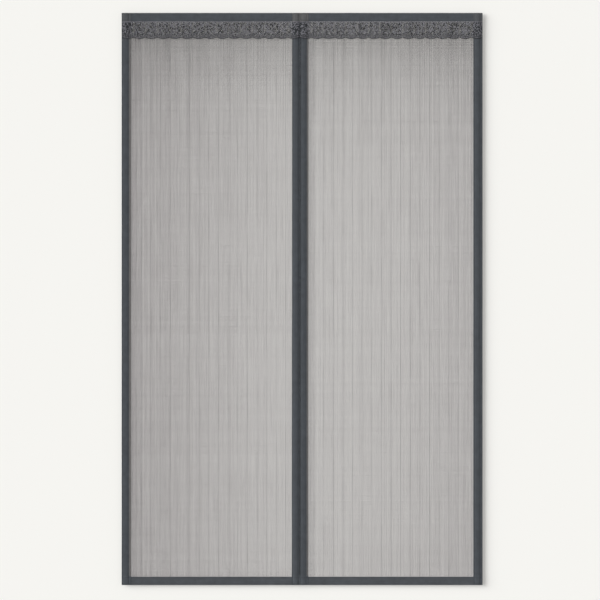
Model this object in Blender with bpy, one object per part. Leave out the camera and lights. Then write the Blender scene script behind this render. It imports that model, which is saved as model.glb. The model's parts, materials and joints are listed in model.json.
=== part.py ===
"""Magnetic insect screen for a doorway: two mesh panels that close on full-length magnet strips.

The screen hangs from its top edge. X runs across it, +Z is up and its front faces -Y. The plane Y = 0
is the back of the adhesive hook tapes, which lies against the door frame, and the origin is the middle
of the top one.
"""

import math
from collections import namedtuple

import bmesh
import bpy
from mathutils import Matrix, Vector

MM = 0.001

# Overall size
WIDTH = 1325 * MM
HEIGHT = 2100 * MM
HEM_HEIGHT = 30.5 * MM
CLOSING_LINE_X = -7.9 * MM
CLOSING_GAP = 0.6 * MM

# Clearance that stands for contact between two sewn or touching pieces
GAP = 0.3 * MM

# Cloth and tape thicknesses
TAPE = 0.5 * MM
MESH = 0.5 * MM
LACE = 0.6 * MM
HOOK_THICKNESS = 0.9 * MM
LOOP_THICKNESS = 1.0 * MM

# Hook and loop tapes
FASTENER_WIDTH = 20 * MM
FASTENER_FROM_EDGE = 3 * MM
FASTENER_END_GAP = 2 * MM
FASTENER_ABOVE_FLOOR_EDGE = 8 * MM

# Widths of the four side bindings, and of the flat lips beside their raised middle
LEFT_OUTER_WIDTH = 34.0 * MM
LEFT_CENTRE_WIDTH = 29.0 * MM
RIGHT_CENTRE_WIDTH = 31.0 * MM
RIGHT_OUTER_WIDTH = 33.6 * MM
NARROW_LIP = 3.6 * MM
WIDE_LIP = 7.8 * MM
MIDDLE_LIP = 6.5 * MM
FOLD_LIP = 4.0 * MM

# Shape of the folded bindings
FOLD_RADIUS = 1.2 * MM
SIDE_CROWN = 1.1 * MM
CENTRE_CROWN = 1.4 * MM
HEM_CROWN = 0.3 * MM
LIP_CROWN = 0.35 * MM
LIP_CREST = 0.7
CROWN_POWER = 2.6
FOLD_STEPS = 4
CROWN_STEPS = 6
RAMP = 4 * MM
TUCK = 3.4 * MM

# Magnet strips and hem weights
MAGNET_WIDTH = 12 * MM
MAGNET_THICKNESS = 2 * MM
MAGNET_BEVEL = 0.3 * MM
MAGNET_PAST_STITCH = 3.5 * MM
MAGNET_END_GAP = 2 * MM
WEIGHT_LENGTH = 110 * MM
WEIGHT_WIDTH = 8 * MM
WEIGHT_THICKNESS = 0.5 * MM
WEIGHT_FROM_BINDING = 6 * MM
WEIGHT_ABOVE_FOLD = 3.5 * MM

# Mesh cloth
MESH_IN_TOP_HEM = 26 * MM
MESH_IN_BOTTOM_HEM = 16 * MM
STRIPE_PITCH = 35.3 * MM
FIRST_STRIPE = 51.6 * MM
GAPS_PER_STRIPE = 3
GAP_ROWS = 2
YARN_BAR = 4 * MM
CROSS_BAR = 4 * MM
STRIPE_RIDGE_WIDTH = 1.6 * MM
STRIPE_RIDGE = 0.25 * MM
GAP_MARGIN = 2 * MM

# Lace trim
LACE_HEIGHT = 64 * MM
SCALLOP_PITCH = 42.6 * MM
SCALLOP_DEPTH = 5 * MM
SCALLOP_STEPS = 6
LACE_DROP_START = 0.5 * MM
LACE_DROP_LENGTH = 5 * MM
LACE_SIDE_INSET = 0.4 * MM
HEADING_HEIGHT = 3 * MM
HEADING_FROM_TOP = 3 * MM
HEADING_RIDGE = 0.3 * MM
HEADING_INSET = 2 * MM
PETALS = 5
PETAL_NEAR = 4 * MM
PETAL_FAR = 12 * MM
PETAL_HALF_WIDTH = 2.6 * MM
FLOWER_FROM_TOP = 26 * MM
EYELET_HALF_WIDTH = 3 * MM
EYELET_HALF_HEIGHT = 4.5 * MM
EYELET_FROM_TIP = 13 * MM

# Height of the top and bottom edges above the middle of the top fixing face
TOP = HEM_HEIGHT / 2
BOTTOM = TOP - HEIGHT

# Depth of each layer, from the door frame forwards
HOOK_FRONT = -HOOK_THICKNESS
LOOP_BACK = HOOK_FRONT - GAP
LOOP_FRONT = LOOP_BACK - LOOP_THICKNESS
SIDE_BACK = LOOP_FRONT - GAP
SIDE_BACK_INNER = SIDE_BACK - TAPE
HEM_BACK = SIDE_BACK_INNER - GAP
MESH_BACK = HEM_BACK - TAPE - GAP
MESH_FRONT = MESH_BACK - MESH
COVER_INNER = MESH_FRONT - GAP
STEP_OVER_HEM = TAPE + HEM_CROWN + GAP

Binding = namedtuple("Binding", "name width mesh_lip fold_lip crown")
Panel = namedtuple("Panel", "name inward closing_x outer_x centre outer")

PANELS = (
    Panel(
        name="left",
        inward=1,
        closing_x=CLOSING_LINE_X - CLOSING_GAP / 2,
        outer_x=-WIDTH / 2,
        centre=Binding("centre", LEFT_CENTRE_WIDTH, NARROW_LIP, FOLD_LIP, CENTRE_CROWN),
        outer=Binding("outer", LEFT_OUTER_WIDTH, WIDE_LIP, FOLD_LIP, SIDE_CROWN),
    ),
    Panel(
        name="right",
        inward=-1,
        closing_x=CLOSING_LINE_X + CLOSING_GAP / 2,
        outer_x=WIDTH / 2,
        centre=Binding("centre", RIGHT_CENTRE_WIDTH, MIDDLE_LIP, FOLD_LIP, CENTRE_CROWN),
        outer=Binding("outer", RIGHT_OUTER_WIDTH, NARROW_LIP, WIDE_LIP, SIDE_CROWN),
    ),
)


def clear_scene():
    """Remove the objects of the opened scene."""
    for item in list(bpy.data.objects):
        bpy.data.objects.remove(item, do_unlink=True)


def finish_material(name, colour, roughness, metallic=0.0):
    """A plain Principled material with the finish's own colour, roughness and metallic value."""
    finish = bpy.data.materials.new(name)
    finish.use_nodes = True
    shader = finish.node_tree.nodes["Principled BSDF"]
    shader.inputs["Base Color"].default_value = (*colour, 1.0)
    shader.inputs["Roughness"].default_value = roughness
    shader.inputs["Metallic"].default_value = metallic
    return finish


def add_object(name, bm, finish):
    """Turn a finished bmesh into a named object."""
    bmesh.ops.recalc_face_normals(bm, faces=bm.faces[:])
    mesh = bpy.data.meshes.new(name)
    bm.to_mesh(mesh)
    bm.free()
    mesh.materials.append(finish)
    item = bpy.data.objects.new(name, mesh)
    bpy.context.scene.collection.objects.link(item)
    return item


def ribbon_outline(path, thickness):
    """Closed outline of a tape of even thickness whose middle follows the path."""
    near, far = [], []
    for index, point in enumerate(path):
        before = path[max(index - 1, 0)]
        after = path[min(index + 1, len(path) - 1)]
        along = (after - before).normalized()
        across = Vector((-along.y, along.x)) * thickness / 2
        near.append(point + across)
        far.append(point - across)
    return near + far[::-1]


def fold_path(back, front, radius):
    """Half an ellipse that turns the tape from its back layer to its front layer."""
    middle, reach = (back + front) / 2, (back - front) / 2
    points = []
    for step in range(FOLD_STEPS + 1):
        angle = math.pi * step / FOLD_STEPS
        across = TAPE / 2 + radius * (1 - math.sin(angle))
        points.append(Vector((across, middle + reach * math.cos(angle))))
    return points


def binding_path(binding, step):
    """Middle of a side binding's tape, from its back layer round the fold to the lip on the mesh.

    The first number of each point is the distance from the folded edge, the second is the depth.
    """
    back = SIDE_BACK - TAPE / 2
    front = COVER_INNER - TAPE / 2 - step
    path = [Vector((binding.width, back))]
    path += fold_path(back, front, FOLD_RADIUS)
    path.append(Vector((binding.fold_lip * LIP_CREST, front - LIP_CROWN)))
    crown_width = binding.width - binding.mesh_lip - binding.fold_lip
    for index in range(CROWN_STEPS + 1):
        share = index / CROWN_STEPS
        rise = binding.crown * (1 - abs(2 * share - 1) ** CROWN_POWER)
        path.append(Vector((binding.fold_lip + crown_width * share, front - rise)))
    path.append(Vector((binding.width - binding.mesh_lip / 2, front - LIP_CROWN)))
    path.append(Vector((binding.width, front)))
    return path


def hem_path():
    """Middle of a top or bottom binding's tape, in distance from the folded edge and depth."""
    back = HEM_BACK - TAPE / 2
    front = COVER_INNER - TAPE / 2
    path = [Vector((HEM_HEIGHT, back))]
    path += fold_path(back, front, (back - front) / 2)
    path.append(Vector((HEM_HEIGHT / 2, front - HEM_CROWN)))
    path.append(Vector((HEM_HEIGHT, front)))
    return path


def extrude(bm, faces):
    """Extrude a region of faces in place and return its new faces and points."""
    edges = dict.fromkeys(edge for face in faces for edge in face.edges)
    grown = bmesh.ops.extrude_face_region(bm, geom=[*faces, *edges])["geom"]
    new_faces = [item for item in grown if isinstance(item, bmesh.types.BMFace)]
    new_verts = [item for item in grown if isinstance(item, bmesh.types.BMVert)]
    return new_faces, new_verts


def loft(rings):
    """Closed solid through rings that have the same number of points."""
    bm = bmesh.new()
    end = bm.faces.new([bm.verts.new(point) for point in rings[0]])
    for ring in rings[1:]:
        end = extrude(bm, [end])[0][0]
        for vert, point in zip(end.verts, ring):
            vert.co = point
    return bm


def strip(low, high, bevel=0.0):
    """Flat strip between two corners, with its long edges rounded if a bevel is given."""
    size, middle = Vector(high) - Vector(low), (Vector(high) + Vector(low)) / 2
    bm = bmesh.new()
    place = Matrix.Translation(middle) @ Matrix.Diagonal((*size, 1.0))
    bmesh.ops.create_cube(bm, size=1.0, matrix=place)
    if bevel:
        edges = [edge for edge in bm.edges if edge.calc_length() > 0.99 * max(size)]
        bmesh.ops.bevel(bm, geom=edges, offset=bevel, segments=2, profile=0.5, affect="EDGES", material=-1)
    return bm


def ring_edges(bm, points, depth):
    """Closed loop of edges through points of the front plane, at one depth."""
    verts = [bm.verts.new((x, depth, z)) for x, z in points]
    edges = [bm.edges.new((verts[index - 1], verts[index])) for index in range(len(verts))]
    return verts, edges


def pierced_plate(outline, holes, ridges, back, thickness, ridge_height):
    """Plate with holes right through it and ridges on its front face."""
    bm = bmesh.new()
    edges = []
    for points in [outline, *holes]:
        edges += ring_edges(bm, points, back)[1]
    ridge_rings = [ring_edges(bm, points, back) for points in ridges]
    for _, ring in ridge_rings:
        edges += ring
    bmesh.ops.triangle_fill(bm, use_beauty=True, use_dissolve=False, edges=edges, normal=(0, 1, 0))
    for verts, _ in ridge_rings:
        bm.faces.new(verts).material_index = 1
    front = raise_faces(bm, bm.faces[:], thickness)
    ridge_tops = [face for face in front if face.material_index == 1]
    raise_faces(bm, ridge_tops, ridge_height)
    for face in bm.faces:
        face.material_index = 0
    return bm


def raise_faces(bm, faces, height):
    """Extrude faces forwards and return the new ones."""
    front, verts = extrude(bm, faces)
    bmesh.ops.translate(bm, verts=verts, vec=(0, -height, 0))
    return front


def rectangle(x0, x1, z0, z1):
    """Corners of an upright rectangle of the front plane."""
    return [(x0, z0), (x1, z0), (x1, z1), (x0, z1)]


def panel_width(panel):
    """Distance from a panel's closing edge to its outer edge."""
    return abs(panel.outer_x - panel.closing_x)


def from_closing(panel, distance):
    """X of a point at a distance from the panel's closing edge."""
    return panel.closing_x - panel.inward * distance


def make_side_binding(panel, binding, edge_x, inward, finish):
    """Tape folded round one upright edge, stepping outwards where it covers the two hems."""
    levels = (
        (BOTTOM, STEP_OVER_HEM),
        (BOTTOM + HEM_HEIGHT, STEP_OVER_HEM),
        (BOTTOM + HEM_HEIGHT + RAMP, 0.0),
        (TOP - HEM_HEIGHT - RAMP, 0.0),
        (TOP - HEM_HEIGHT, STEP_OVER_HEM),
        (TOP, STEP_OVER_HEM),
    )
    rings = []
    for height, step in levels:
        outline = ribbon_outline(binding_path(binding, step), TAPE)
        rings.append([Vector((edge_x + inward * point.x, point.y, height)) for point in outline])
    return add_object(f"{panel.name}_{binding.name}_binding", loft(rings), finish)


def make_hem_binding(panel, name, edge_z, inward_z, finish):
    """Tape folded round the top or bottom edge, with its ends tucked into the two side bindings."""
    ends = (
        from_closing(panel, panel.centre.width - panel.centre.mesh_lip - TUCK),
        panel.outer_x + panel.inward * (panel.outer.width - panel.outer.mesh_lip - TUCK),
    )
    outline = ribbon_outline(hem_path(), TAPE)
    rings = [[Vector((x, point.y, edge_z + inward_z * point.x)) for point in outline] for x in ends]
    return add_object(f"{panel.name}_{name}_binding", loft(rings), finish)


def mesh_openings(panel):
    """The gaps between the yarn bars of a panel, and the ridges of its thick stripe yarns."""
    step = STRIPE_PITCH / GAPS_PER_STRIPE
    low = BOTTOM + HEM_HEIGHT + GAP_MARGIN
    high = TOP - HEM_HEIGHT - GAP_MARGIN
    row = (high - low - CROSS_BAR * (GAP_ROWS - 1)) / GAP_ROWS
    near = panel.centre.width + GAP_MARGIN
    far = panel_width(panel) - panel.outer.width - GAP_MARGIN
    first = math.ceil((near - FIRST_STRIPE + YARN_BAR / 2) / step)
    last = math.floor((far - FIRST_STRIPE - YARN_BAR / 2) / step)
    gaps, ridges = [], []
    for index in range(first, last + 1):
        bar = FIRST_STRIPE + index * step
        if index < last:
            xs = sorted(from_closing(panel, bar + way) for way in (YARN_BAR / 2, step - YARN_BAR / 2))
            for level in range(GAP_ROWS):
                base = low + level * (row + CROSS_BAR)
                gaps.append(rectangle(*xs, base, base + row))
        if index % GAPS_PER_STRIPE == 0:
            middle = from_closing(panel, bar)
            half = STRIPE_RIDGE_WIDTH / 2
            ridges.append(rectangle(middle - half, middle + half, low, high))
    return gaps, ridges


def make_mesh_panel(panel, finish):
    """Cloth panel as one wall: upright yarn bars with gaps between them and raised stripe yarns."""
    near = from_closing(panel, panel.centre.width - panel.centre.mesh_lip - TUCK)
    far = panel.outer_x + panel.inward * (panel.outer.width - panel.outer.mesh_lip - TUCK)
    low = BOTTOM + HEM_HEIGHT - MESH_IN_BOTTOM_HEM
    high = TOP - HEM_HEIGHT + MESH_IN_TOP_HEM
    outline = rectangle(min(near, far), max(near, far), low, high)
    gaps, ridges = mesh_openings(panel)
    bm = pierced_plate(outline, gaps, ridges, MESH_BACK, MESH, STRIPE_RIDGE)
    return add_object(f"{panel.name}_mesh_panel", bm, finish)


def scalloped_outline(low_x, high_x, top, valley, count):
    """Outline of the lace: straight at its top and sides, with round scallops below."""
    pitch = (high_x - low_x) / count
    points = [(high_x, top), (low_x, top)]
    for index in range(count):
        for step in range(SCALLOP_STEPS):
            share = step / SCALLOP_STEPS
            drop = SCALLOP_DEPTH * math.sin(math.pi * share)
            points.append((low_x + pitch * (index + share), valley - drop))
    points.append((high_x, valley))
    return points


def diamond(centre, along, near, far, half_width):
    """Four-cornered hole that points away from a centre."""
    across = Vector((-along.y, along.x))
    waist = centre + along * (near + far) / 2
    return [
        tuple(centre + along * near),
        tuple(waist + across * half_width),
        tuple(centre + along * far),
        tuple(waist - across * half_width),
    ]


def lace_holes(low_x, high_x, top, valley, count):
    """One open flower and one eyelet for each scallop."""
    pitch = (high_x - low_x) / count
    holes = []
    for index in range(count):
        middle = low_x + pitch * (index + 0.5)
        flower = Vector((middle, top - FLOWER_FROM_TOP))
        for petal in range(PETALS):
            angle = math.pi / 2 + math.tau * petal / PETALS
            along = Vector((math.cos(angle), math.sin(angle)))
            holes.append(diamond(flower, along, PETAL_NEAR, PETAL_FAR, PETAL_HALF_WIDTH))
        eyelet = Vector((middle, valley - SCALLOP_DEPTH + EYELET_FROM_TIP))
        up = Vector((0, 1))
        holes.append(diamond(eyelet, up, -EYELET_HALF_HEIGHT, EYELET_HALF_HEIGHT, EYELET_HALF_WIDTH))
    return holes


def lace_depth(panel, x):
    """Depth of the lace's back at an X: in front of the side bindings, and lower over the mesh."""
    over_mesh = MESH_FRONT - STRIPE_RIDGE - GAP
    depths = []
    for edge_x, binding in ((panel.closing_x, panel.centre), (panel.outer_x, panel.outer)):
        over_tape = COVER_INNER - TAPE - binding.crown - STEP_OVER_HEM - GAP
        past = abs(x - edge_x) - binding.width - LACE_DROP_START
        share = min(max(past / LACE_DROP_LENGTH, 0.0), 1.0)
        depths.append(over_tape + (over_mesh - over_tape) * share)
    return min(depths)


def make_lace_trim(panel, finish):
    """Scalloped lace sewn across the top of a panel, lying over the mesh and both side bindings."""
    low_x, high_x = sorted((panel.closing_x, panel.outer_x))
    low_x, high_x = low_x + LACE_SIDE_INSET, high_x - LACE_SIDE_INSET
    top = TOP - HEM_HEIGHT - GAP
    valley = top - LACE_HEIGHT + SCALLOP_DEPTH
    count = round((high_x - low_x) / SCALLOP_PITCH)
    outline = scalloped_outline(low_x, high_x, top, valley, count)
    holes = lace_holes(low_x, high_x, top, valley, count)
    heading_top = top - HEADING_FROM_TOP
    heading_xs = (low_x + HEADING_INSET, high_x - HEADING_INSET)
    heading = rectangle(*heading_xs, heading_top - HEADING_HEIGHT, heading_top)
    bm = pierced_plate(outline, holes, [heading], 0.0, LACE, HEADING_RIDGE)
    for edge_x, binding in ((panel.closing_x, panel.centre), (panel.outer_x, panel.outer)):
        away = -1 if edge_x > (low_x + high_x) / 2 else 1
        for distance in (LACE_DROP_START, LACE_DROP_START + LACE_DROP_LENGTH):
            cut_x = edge_x + away * (binding.width + distance)
            geom = bm.verts[:] + bm.edges[:] + bm.faces[:]
            bmesh.ops.bisect_plane(bm, geom=geom, dist=1e-7, plane_co=(cut_x, 0, 0), plane_no=(1, 0, 0))
    for vert in bm.verts:
        vert.co.y += lace_depth(panel, vert.co.x)
    return add_object(f"{panel.name}_lace_trim", bm, finish)


def make_magnet_strip(panel, finish):
    """Flexible magnet strip that fills the channel of the centre binding."""
    start = panel.centre.fold_lip + MAGNET_PAST_STITCH
    xs = sorted((from_closing(panel, start), from_closing(panel, start + MAGNET_WIDTH)))
    back = SIDE_BACK_INNER - GAP
    low = (xs[0], back - MAGNET_THICKNESS, BOTTOM + MAGNET_END_GAP)
    high = (xs[1], back, TOP - MAGNET_END_GAP)
    return add_object(f"{panel.name}_magnet_strip", strip(low, high, MAGNET_BEVEL), finish)


def make_hem_weight(panel, finish):
    """Thin steel bar that lies in the fold of the bottom hem beside the closing edge."""
    start = panel.centre.width + WEIGHT_FROM_BINDING
    xs = sorted((from_closing(panel, start), from_closing(panel, start + WEIGHT_LENGTH)))
    back = HEM_BACK - TAPE - GAP
    low = (xs[0], back - WEIGHT_THICKNESS, BOTTOM + WEIGHT_ABOVE_FOLD)
    high = (xs[1], back, BOTTOM + WEIGHT_ABOVE_FOLD + WEIGHT_WIDTH)
    return add_object(f"{panel.name}_hem_weight", strip(low, high), finish)


def make_fasteners(kind, back, thickness, finish):
    """One layer of the hook-and-loop fastening: a tape along the top and one down each side."""
    edge = WIDTH / 2 - FASTENER_FROM_EDGE
    half = FASTENER_WIDTH / 2
    front = back - thickness
    top = strip((-edge, front, -half), (edge, back, half))
    add_object(f"top_{kind}_tape", top, finish)
    side_top = -half - FASTENER_END_GAP
    side_bottom = BOTTOM + FASTENER_ABOVE_FLOOR_EDGE
    for name, sign in (("left", -1), ("right", 1)):
        xs = sorted((sign * edge, sign * (edge - FASTENER_WIDTH)))
        side = strip((xs[0], front, side_bottom), (xs[1], back, side_top))
        add_object(f"{name}_{kind}_tape", side, finish)


def main():
    clear_scene()
    tape_finish = finish_material("binding_tape", (0.070, 0.080, 0.090), 0.85)
    mesh_finish = finish_material("mesh_cloth", (0.120, 0.120, 0.120), 0.80)
    lace_finish = finish_material("lace", (0.055, 0.060, 0.066), 0.90)
    magnet_finish = finish_material("magnet_rubber", (0.035, 0.030, 0.028), 0.70)
    steel_finish = finish_material("steel", (0.500, 0.500, 0.500), 0.35, 1.0)
    hook_finish = finish_material("hook_tape", (0.045, 0.047, 0.050), 0.80)
    loop_finish = finish_material("loop_tape", (0.060, 0.064, 0.068), 0.95)
    for panel in PANELS:
        make_mesh_panel(panel, mesh_finish)
        make_side_binding(panel, panel.outer, panel.outer_x, panel.inward, tape_finish)
        make_side_binding(panel, panel.centre, panel.closing_x, -panel.inward, tape_finish)
        make_hem_binding(panel, "top", TOP, -1, tape_finish)
        make_hem_binding(panel, "bottom", BOTTOM, 1, tape_finish)
        make_lace_trim(panel, lace_finish)
        make_magnet_strip(panel, magnet_finish)
        make_hem_weight(panel, steel_finish)
    make_fasteners("hook", 0.0, HOOK_THICKNESS, hook_finish)
    make_fasteners("loop", LOOP_BACK, LOOP_THICKNESS, loop_finish)


main()
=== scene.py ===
"""Magnetic insect screen: its mesh cloth, folded tapes, lace, stitching and fixings.

The screen hangs with its front towards -Y. X runs across it and Z up, in metres. The origin is the
middle of the top fixing face.
"""

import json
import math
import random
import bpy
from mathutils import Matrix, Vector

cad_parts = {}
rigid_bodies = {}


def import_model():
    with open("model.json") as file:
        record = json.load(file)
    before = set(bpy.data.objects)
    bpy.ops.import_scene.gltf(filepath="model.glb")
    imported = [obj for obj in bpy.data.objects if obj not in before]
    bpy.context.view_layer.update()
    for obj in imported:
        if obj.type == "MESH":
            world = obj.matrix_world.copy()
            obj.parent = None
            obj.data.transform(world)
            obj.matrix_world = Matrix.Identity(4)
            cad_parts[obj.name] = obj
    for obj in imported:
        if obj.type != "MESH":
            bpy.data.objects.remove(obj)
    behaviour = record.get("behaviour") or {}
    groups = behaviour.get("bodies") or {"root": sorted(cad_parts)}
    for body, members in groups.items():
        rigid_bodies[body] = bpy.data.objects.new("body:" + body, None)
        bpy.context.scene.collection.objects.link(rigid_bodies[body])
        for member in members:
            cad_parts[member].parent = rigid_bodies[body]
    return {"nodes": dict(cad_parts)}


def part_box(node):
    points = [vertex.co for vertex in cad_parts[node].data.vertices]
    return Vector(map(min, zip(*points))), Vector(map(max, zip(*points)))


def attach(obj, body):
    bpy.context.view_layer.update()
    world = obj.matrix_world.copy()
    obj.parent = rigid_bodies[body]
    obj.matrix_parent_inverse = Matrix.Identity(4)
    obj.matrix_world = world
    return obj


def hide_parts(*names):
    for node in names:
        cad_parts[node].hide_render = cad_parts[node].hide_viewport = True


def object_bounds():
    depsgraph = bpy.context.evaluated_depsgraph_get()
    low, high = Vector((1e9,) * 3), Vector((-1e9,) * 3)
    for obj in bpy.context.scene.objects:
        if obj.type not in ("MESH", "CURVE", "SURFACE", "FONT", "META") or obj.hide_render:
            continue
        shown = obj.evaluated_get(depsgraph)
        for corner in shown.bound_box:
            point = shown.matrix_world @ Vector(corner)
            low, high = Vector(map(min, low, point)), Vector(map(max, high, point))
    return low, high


bl_info = {
    "name": "Magnetic Insect Screen",
    "version": (1, 0, 0),
    "blender": (4, 5, 0),
    "location": "3D View > Sidebar > Insect Screen",
    "description": "Builds the cloth, tapes, lace and stitching of a doorway insect screen",
    "category": "Object",
}

from collections import namedtuple

import bmesh
import bpy
from bpy.props import FloatProperty, FloatVectorProperty, PointerProperty
from mathutils import Matrix, Vector, noise

for item in list(bpy.data.objects):
    bpy.data.objects.remove(item, do_unlink=True)
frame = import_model()
CAD_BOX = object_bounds()

MM = 0.001
PLAIN_SOCKETS = {
    "specular": "Specular IOR Level",
    "sheen": "Sheen Weight",
    "sheen_roughness": "Sheen Roughness",
    "metallic": "Metallic",
}
PANELS = ("left", "right")
UP, RIGHT = Vector((0, 0, 1)), Vector((1, 0, 0))
FORWARD, BACKWARD = Vector((0, -1, 0)), Vector((0, 1, 0))

# Heights of the screen's edges and hems
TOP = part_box("left_centre_binding")[1].z
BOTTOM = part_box("left_centre_binding")[0].z
HEM_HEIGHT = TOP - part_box("left_top_binding")[0].z
MIDDLE_Z = (TOP + BOTTOM) / 2

# Depth of each layer, from the door frame forwards
GAP = 0.3 * MM
TAPE = 0.5 * MM
SIDE_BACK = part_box("top_loop_tape")[0].y - GAP
SIDE_BACK_MIDDLE = SIDE_BACK - TAPE / 2
HEM_BACK_MIDDLE = SIDE_BACK - TAPE - GAP - TAPE / 2
MESH_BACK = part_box("left_mesh_panel")[1].y
MESH_FRONT = MESH_BACK - 0.5 * MM
COVER_INNER = MESH_FRONT - GAP
STEP_OVER_HEM = 1.1 * MM

# Shape of the folded tapes: swells, puckers at the seams, gathers over the hems
RAMP = 7 * MM
END_ROUND = 1.6 * MM
FOLD_RADIUS = 1.2 * MM
FOLD_STEPS = 6
CROWN_STEPS = 12
CROWN_POWER = 2.9
LIP_STEPS = 4
LIP_CROWN = 0.4 * MM
HEM_CROWN = 0.45 * MM
HEM_CROWN_POWER = 2.4
HEM_STITCH = 3.6 * MM
HEM_START = 3 * MM
HEM_STEPS = 8
RING_PITCH = 7 * MM
HEM_RING_PITCH = 5 * MM
SWELL = 0.16
PUCKER = 0.16 * MM
PUCKER_LENGTH = 9 * MM
PUCKER_REACH = 5 * MM
HEM_PUCKER_REACH = 7 * MM
GATHER = 0.32 * MM
GATHER_PITCH = 4.6 * MM
SMOOTH_FOLD = 3 * MM
SIDE_WANDER = 0.35 * MM
CLOSING_LEAN = 0.75 * MM
CLOSING_TOUCH = 0.27 * MM
HEM_SEED = 71
SHARP_ANGLE = math.radians(40)

# Tone of the tapes, for the lip attribute
# Painted shade that darkens the crease of the closing line: its strength, where it starts and how wide it
# is
PAINTED_CREASE_SHADE = 0.5
CREASE_START = 1.0 * MM
CREASE_WIDTH = 1.4 * MM
LIP_START = -0.3 * MM
LIP_BLEND = 1.2 * MM
SIDE_SHADE = 0.07
TOP_PALE = {"outer": 0.25, "centre": 0.6}
HEM_PALE = {"top": 0.0, "bottom": 0.09}

# Threads of the mesh cloth: each spread is a share of the width, each shift a length
MESH_SEEDS = {"left": 17, "right": 29}
WARP_LEVELS = 24
WEFT_LEVELS = 8
WARP_SHIFT = 0.11 * MM
WARP_SPREAD = 0.15
WEFT_SHIFT = 0.07 * MM
WEFT_SPREAD = 0.13
WARP_SWELL = 0.85
THINNEST = 0.3
STREAKS = ((0.35, 2.1, 3.3), (0.16, 8.3, 9.1))
TONE_REACH = 140 * MM
TOP_THICKER = 0.92
BOTTOM_THICKER = 0.08
SIDE_THICKER = {"left": (0.62, 1.35), "right": (0.34, 3)}
# How far down from the top hem the painted shade on the mesh yarn reaches
PAINTED_TOP_SHADE_REACH = 160 * MM
STRIPE_PITCH = 35.3 * MM
FIRST_STRIPE = 51.6 * MM
STRIPE_TONE = 0.35

# Stitching
STITCH_SEEDS = {"left": 5, "right": 6}
STITCH_PITCH = 3.6 * MM
STITCH_LENGTH = 2.7 * MM
STITCH_RADIUS = 0.32 * MM
STITCH_END = 0.45 * STITCH_RADIUS
STITCH_CORNERS = 4
STITCH_TILT = 0.12
STITCH_SINK = 0.08 * MM
SEAM_END = 3 * MM
TACK_INSET = 2 * MM
TACK_HEIGHT = 4 * MM
TACK_GAP = 1.1 * MM
LOOP_TAPE_REACH = 23.5 * MM
BACK_SEAM_DROP = 27 * MM

# Lace
SCALLOPS = {"left": 15, "right": 16}
LACE_TOP = TOP - HEM_HEIGHT - GAP
LACE_VALLEY = -59 * MM
SCALLOP_DEPTH = 5 * MM
LACE_DROP = 12 * MM
LACE_OVER_MESH = 0.45 * MM
LACE_OVER_TAPE = 0.15 * MM
LACE_WOBBLE = 0.45 * MM
LACE_WOBBLES = 95
LACE_CURL = 0.5 * MM
CURL_START = 40 * MM
CURL_LENGTH = 24 * MM
NET_THREAD = 0.42 * MM
NET_DEPTH = 0.28 * MM
NET_PITCH = 1.9 * MM
NET_INSET = 0.6 * MM
NET_SHORTEST = 2 * MM
FLOWER_ROWS, FLOWER_COLUMNS = 4, 3
FIRST_FLOWER = -10.6 * MM
FLOWER_PITCH = 10.9 * MM
FLOWER_SCATTER = 0.8 * MM
FLOWER_EDGE = 6.6 * MM
PETAL_LENGTH = 5.2 * MM
PETAL_WIDTHS = {5: 4.1 * MM, 6: 3.5 * MM}
PETAL_START = 1.7 * MM
PETAL_TAPER = 0.62
HEART = 3.6 * MM
LEAF = (5.0 * MM, 2.6 * MM)
FAN_LEAF = (4.8 * MM, 2.6 * MM)
BAR = (6.6 * MM, 2.3 * MM)
PICOT = (2.9 * MM, 2.8 * MM)
FAN_LEAVES, BARS, PICOTS = 14, 18, 9
LACE_SEED = 91

# Cords of the lace in mm: height and width, then distance above the edge, width and height
HEADING_CORDS = ((-0.8, 1.2), (-3.6, 0.9))
BORDER_CORDS = ((0.9, 1.7, 0.85), (8.4, 1.1, 0.6), (14.2, 0.9, 0.5))

# Petals: numbers to tell them apart, and the share that is satin, whose paler colour is partly a painted
# sheen
PETAL_NUMBERS = 10000
SATIN_SHARE = 0.58

# Stage: ways of the lamps, their strength and angle, and how much each backdrop lights itself
KEY_WAY = Vector((1.43, 1.0, -0.485)).normalized()
KEY_SHARE = 0.60
KEY_ANGLE = 48
FILL_WAY = Vector((-0.6, -1.0, -0.6))
FILL_STRENGTH = 0.9
FILL_ANGLE = 60
BACKDROP_GLOW = 0.26
# Extra self-light of the sheet behind the mesh: painted light that weakens the shadows seen through the
# cloth
PAINTED_LIGHT_BEHIND_MESH = 0.46
FLOOR_GLOW = 0.7
WALL_Y = 9.5 * MM
FLOOR_Z = -2155 * MM
MESH_WALL_INSET = 20 * MM
MESH_WALL_STEP = 0.2 * MM

# View of the photograph
VIEW_HEIGHT = 2.2018
VIEW_DISTANCE = 9.0
VIEW_X = -7.7 * MM
VIEW_Z = -1038.4 * MM
FRONT_Y = -6.5 * MM
SENSOR = 36

Tape = namedtuple("Tape", "panel name edge_x inward width mesh_lip fold_lip crown seed pale")


def tape_from_node(panel, name, inward, mesh_lip, fold_lip, crown, seed, pale):
    """A side binding's measures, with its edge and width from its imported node."""
    low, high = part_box(f"{panel}_{name}_binding")
    edge_x = low.x if inward > 0 else high.x
    lengths = (high.x - low.x, mesh_lip * MM, fold_lip * MM, crown * MM)
    return Tape(panel, name, edge_x, inward, *lengths, seed, pale)


# The last value, pale, gives a tape's lip its paler single-layer colour; only the right-hand lips get it,
# so it is partly a painted highlight
TAPES = (
    tape_from_node("left", "outer", 1, 7.8, 4.0, 1.5, 11, 1.0),
    tape_from_node("left", "centre", -1, 3.6, 4.0, 2.3, 23, 0.0),
    tape_from_node("right", "centre", 1, 6.5, 4.0, 1.3, 37, 1.0),
    tape_from_node("right", "outer", -1, 3.6, 7.8, 1.7, 53, 0.0),
)


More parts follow.
